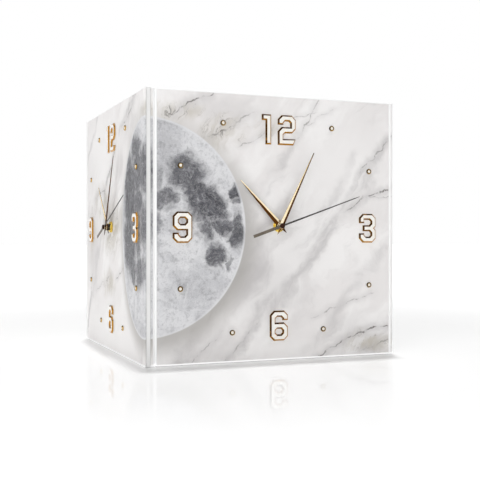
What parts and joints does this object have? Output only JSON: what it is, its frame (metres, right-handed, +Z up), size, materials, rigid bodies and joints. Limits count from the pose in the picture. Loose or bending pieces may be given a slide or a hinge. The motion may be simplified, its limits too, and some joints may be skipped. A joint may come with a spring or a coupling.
{
  "type": "double-sided corner wall clock",
  "caption": "Corner wall clock: a square clear-faced dial panel on each side of an outside corner, with raised hour numbers, folded hands and a battery quartz movement behind each dial.",
  "frame": {"origin": "bottom centre of the whole part's box, on the plane of the panels' lower edges", "axes": "+Z up; +Y from the front dial towards the wall behind it; +X from the side dial towards the wall behind it, so the dials face -Y and -X"},
  "size_m": [0.3192, 0.312, 0.3],
  "materials": {
    "clear_sheet": "polished clear sheet with frosted grooves, printed on its back with pale marble and a moon",
    "foam_board": "white foamed board",
    "white_frame": "satin white",
    "numeral_gold": "cream face with gold bevelled edges",
    "hand_gold": "gold plated, folded along its length",
    "hand_dark": "dark grey enamel",
    "brass": "turned brass",
    "gear_nylon": "moulded natural nylon",
    "movement_black": "moulded black, finely textured",
    "seal_rubber": "soft black rubber",
    "contact_steel": "zinc plated sheet",
    "coil_copper": "enamelled copper winding on its circuit board",
    "battery_can": "plain printed sleeve"
  },
  "bodies": {
    "case": {"front_face_sheet": "clear_sheet", "front_back_board": "foam_board", "front_rear_frame": "white_frame", "front_lock_nut": "brass", "front_gasket": "seal_rubber", "front_movement_case": "movement_black", "front_movement_cover": "movement_black", "front_battery": "battery_can", "front_battery_plate": "contact_steel", "front_battery_leaf": "contact_steel", "front_coil_board": "coil_copper", "front_stator": "contact_steel", "front_numeral_one": "numeral_gold", "front_numeral_two": "numeral_gold", "front_numeral_three": "numeral_gold", "front_numeral_six": "numeral_gold", "front_numeral_nine": "numeral_gold", "side_face_sheet": "clear_sheet", "side_back_board": "foam_board", "side_rear_frame": "white_frame", "side_lock_nut": "brass", "side_gasket": "seal_rubber", "side_movement_case": "movement_black", "side_movement_cover": "movement_black", "side_battery": "battery_can", "side_battery_plate": "contact_steel", "side_battery_leaf": "contact_steel", "side_coil_board": "coil_copper", "side_stator": "contact_steel", "side_numeral_one": "numeral_gold", "side_numeral_two": "numeral_gold", "side_numeral_three": "numeral_gold", "side_numeral_six": "numeral_gold", "side_numeral_nine": "numeral_gold", "upper_corner_bracket": "contact_steel", "lower_corner_bracket": "contact_steel"},
    "front_seconds": {"front_second_wheel": "gear_nylon", "front_second_hand": "hand_dark"},
    "front_fifth": {"front_fifth_wheel": "gear_nylon"},
    "front_motor": {"front_rotor": "gear_nylon"},
    "front_third": {"front_third_wheel": "gear_nylon"},
    "front_minute_drive": {"front_minute_wheel": "gear_nylon"},
    "front_minutes": {"front_minute_arbor": "brass", "front_minute_hand": "hand_gold"},
    "front_change": {"front_change_wheel": "gear_nylon"},
    "front_hours": {"front_hour_wheel": "gear_nylon", "front_hour_hand": "hand_gold"},
    "front_setting": {"front_setting_knob": "movement_black"},
    "side_seconds": {"side_second_wheel": "gear_nylon", "side_second_hand": "hand_dark"},
    "side_fifth": {"side_fifth_wheel": "gear_nylon"},
    "side_motor": {"side_rotor": "gear_nylon"},
    "side_third": {"side_third_wheel": "gear_nylon"},
    "side_minute_drive": {"side_minute_wheel": "gear_nylon"},
    "side_minutes": {"side_minute_arbor": "brass", "side_minute_hand": "hand_gold"},
    "side_change": {"side_change_wheel": "gear_nylon"},
    "side_hours": {"side_hour_wheel": "gear_nylon", "side_hour_hand": "hand_gold"},
    "side_setting": {"side_setting_knob": "movement_black"}
  },
  "joints": [
    {"name": "front_seconds_turn", "type": "hinge", "parent": "case", "child": "front_seconds", "pos_m": [0.0096, -0.14395, 0.152], "axis": [0, 1, 0], "continuous": true},
    {"name": "front_fifth_turn", "type": "hinge", "parent": "case", "child": "front_fifth", "pos_m": [0.02055, -0.14395, 0.14907], "axis": [0, 1, 0], "continuous": true},
    {"name": "front_motor_turn", "type": "hinge", "parent": "case", "child": "front_motor", "pos_m": [0.0271, -0.14395, 0.15285], "axis": [0, 1, 0], "continuous": true},
    {"name": "front_third_turn", "type": "hinge", "parent": "case", "child": "front_third", "pos_m": [0.01698, -0.14395, 0.16079], "axis": [0, 1, 0], "continuous": true},
    {"name": "front_minute_drive_turn", "type": "hinge", "parent": "case", "child": "front_minute_drive", "pos_m": [0.0096, -0.14395, 0.152], "axis": [0, 1, 0], "continuous": true},
    {"name": "front_minutes_turn", "type": "hinge", "parent": "case", "child": "front_minutes", "pos_m": [0.0096, -0.14395, 0.152], "axis": [0, 1, 0], "continuous": true},
    {"name": "front_change_turn", "type": "hinge", "parent": "case", "child": "front_change", "pos_m": [0, -0.14395, 0.152], "axis": [0, 1, 0], "continuous": true},
    {"name": "front_hours_turn", "type": "hinge", "parent": "case", "child": "front_hours", "pos_m": [0.0096, -0.14395, 0.152], "axis": [0, 1, 0], "continuous": true},
    {"name": "front_setting_turn", "type": "hinge", "parent": "case", "child": "front_setting", "pos_m": [-0.0048, -0.14395, 0.16031], "axis": [0, 1, 0], "continuous": true},
    {"name": "side_seconds_turn", "type": "hinge", "parent": "case", "child": "side_seconds", "pos_m": [-0.1475, 0.00605, 0.152], "axis": [1, 0, 0], "continuous": true},
    {"name": "side_fifth_turn", "type": "hinge", "parent": "case", "child": "side_fifth", "pos_m": [-0.1475, -0.0049, 0.14907], "axis": [1, 0, 0], "continuous": true},
    {"name": "side_motor_turn", "type": "hinge", "parent": "case", "child": "side_motor", "pos_m": [-0.1475, -0.01145, 0.15285], "axis": [1, 0, 0], "continuous": true},
    {"name": "side_third_turn", "type": "hinge", "parent": "case", "child": "side_third", "pos_m": [-0.1475, -0.00133, 0.16079], "axis": [1, 0, 0], "continuous": true},
    {"name": "side_minute_drive_turn", "type": "hinge", "parent": "case", "child": "side_minute_drive", "pos_m": [-0.1475, 0.00605, 0.152], "axis": [1, 0, 0], "continuous": true},
    {"name": "side_minutes_turn", "type": "hinge", "parent": "case", "child": "side_minutes", "pos_m": [-0.1475, 0.00605, 0.152], "axis": [1, 0, 0], "continuous": true},
    {"name": "side_change_turn", "type": "hinge", "parent": "case", "child": "side_change", "pos_m": [-0.1475, 0.01565, 0.152], "axis": [1, 0, 0], "continuous": true},
    {"name": "side_hours_turn", "type": "hinge", "parent": "case", "child": "side_hours", "pos_m": [-0.1475, 0.00605, 0.152], "axis": [1, 0, 0], "continuous": true},
    {"name": "side_setting_turn", "type": "hinge", "parent": "case", "child": "side_setting", "pos_m": [-0.1475, 0.02045, 0.16031], "axis": [1, 0, 0], "continuous": true}
  ],
  "couplings": [
    {"joint": "front_fifth_turn", "follows": "front_seconds_turn", "ratio": -5},
    {"joint": "front_motor_turn", "follows": "front_seconds_turn", "ratio": 30},
    {"joint": "front_third_turn", "follows": "front_seconds_turn", "ratio": -0.125},
    {"joint": "front_minute_drive_turn", "follows": "front_seconds_turn", "ratio": 0.016667},
    {"joint": "front_change_turn", "follows": "front_minutes_turn", "ratio": -0.33333},
    {"joint": "front_hours_turn", "follows": "front_minutes_turn", "ratio": 0.083333},
    {"joint": "front_setting_turn", "follows": "front_minutes_turn", "ratio": 1},
    {"joint": "side_fifth_turn", "follows": "side_seconds_turn", "ratio": -5},
    {"joint": "side_motor_turn", "follows": "side_seconds_turn", "ratio": 30},
    {"joint": "side_third_turn", "follows": "side_seconds_turn", "ratio": -0.125},
    {"joint": "side_minute_drive_turn", "follows": "side_seconds_turn", "ratio": 0.016667},
    {"joint": "side_change_turn", "follows": "side_minutes_turn", "ratio": -0.33333},
    {"joint": "side_hours_turn", "follows": "side_minutes_turn", "ratio": 0.083333},
    {"joint": "side_setting_turn", "follows": "side_minutes_turn", "ratio": 1}
  ]
}
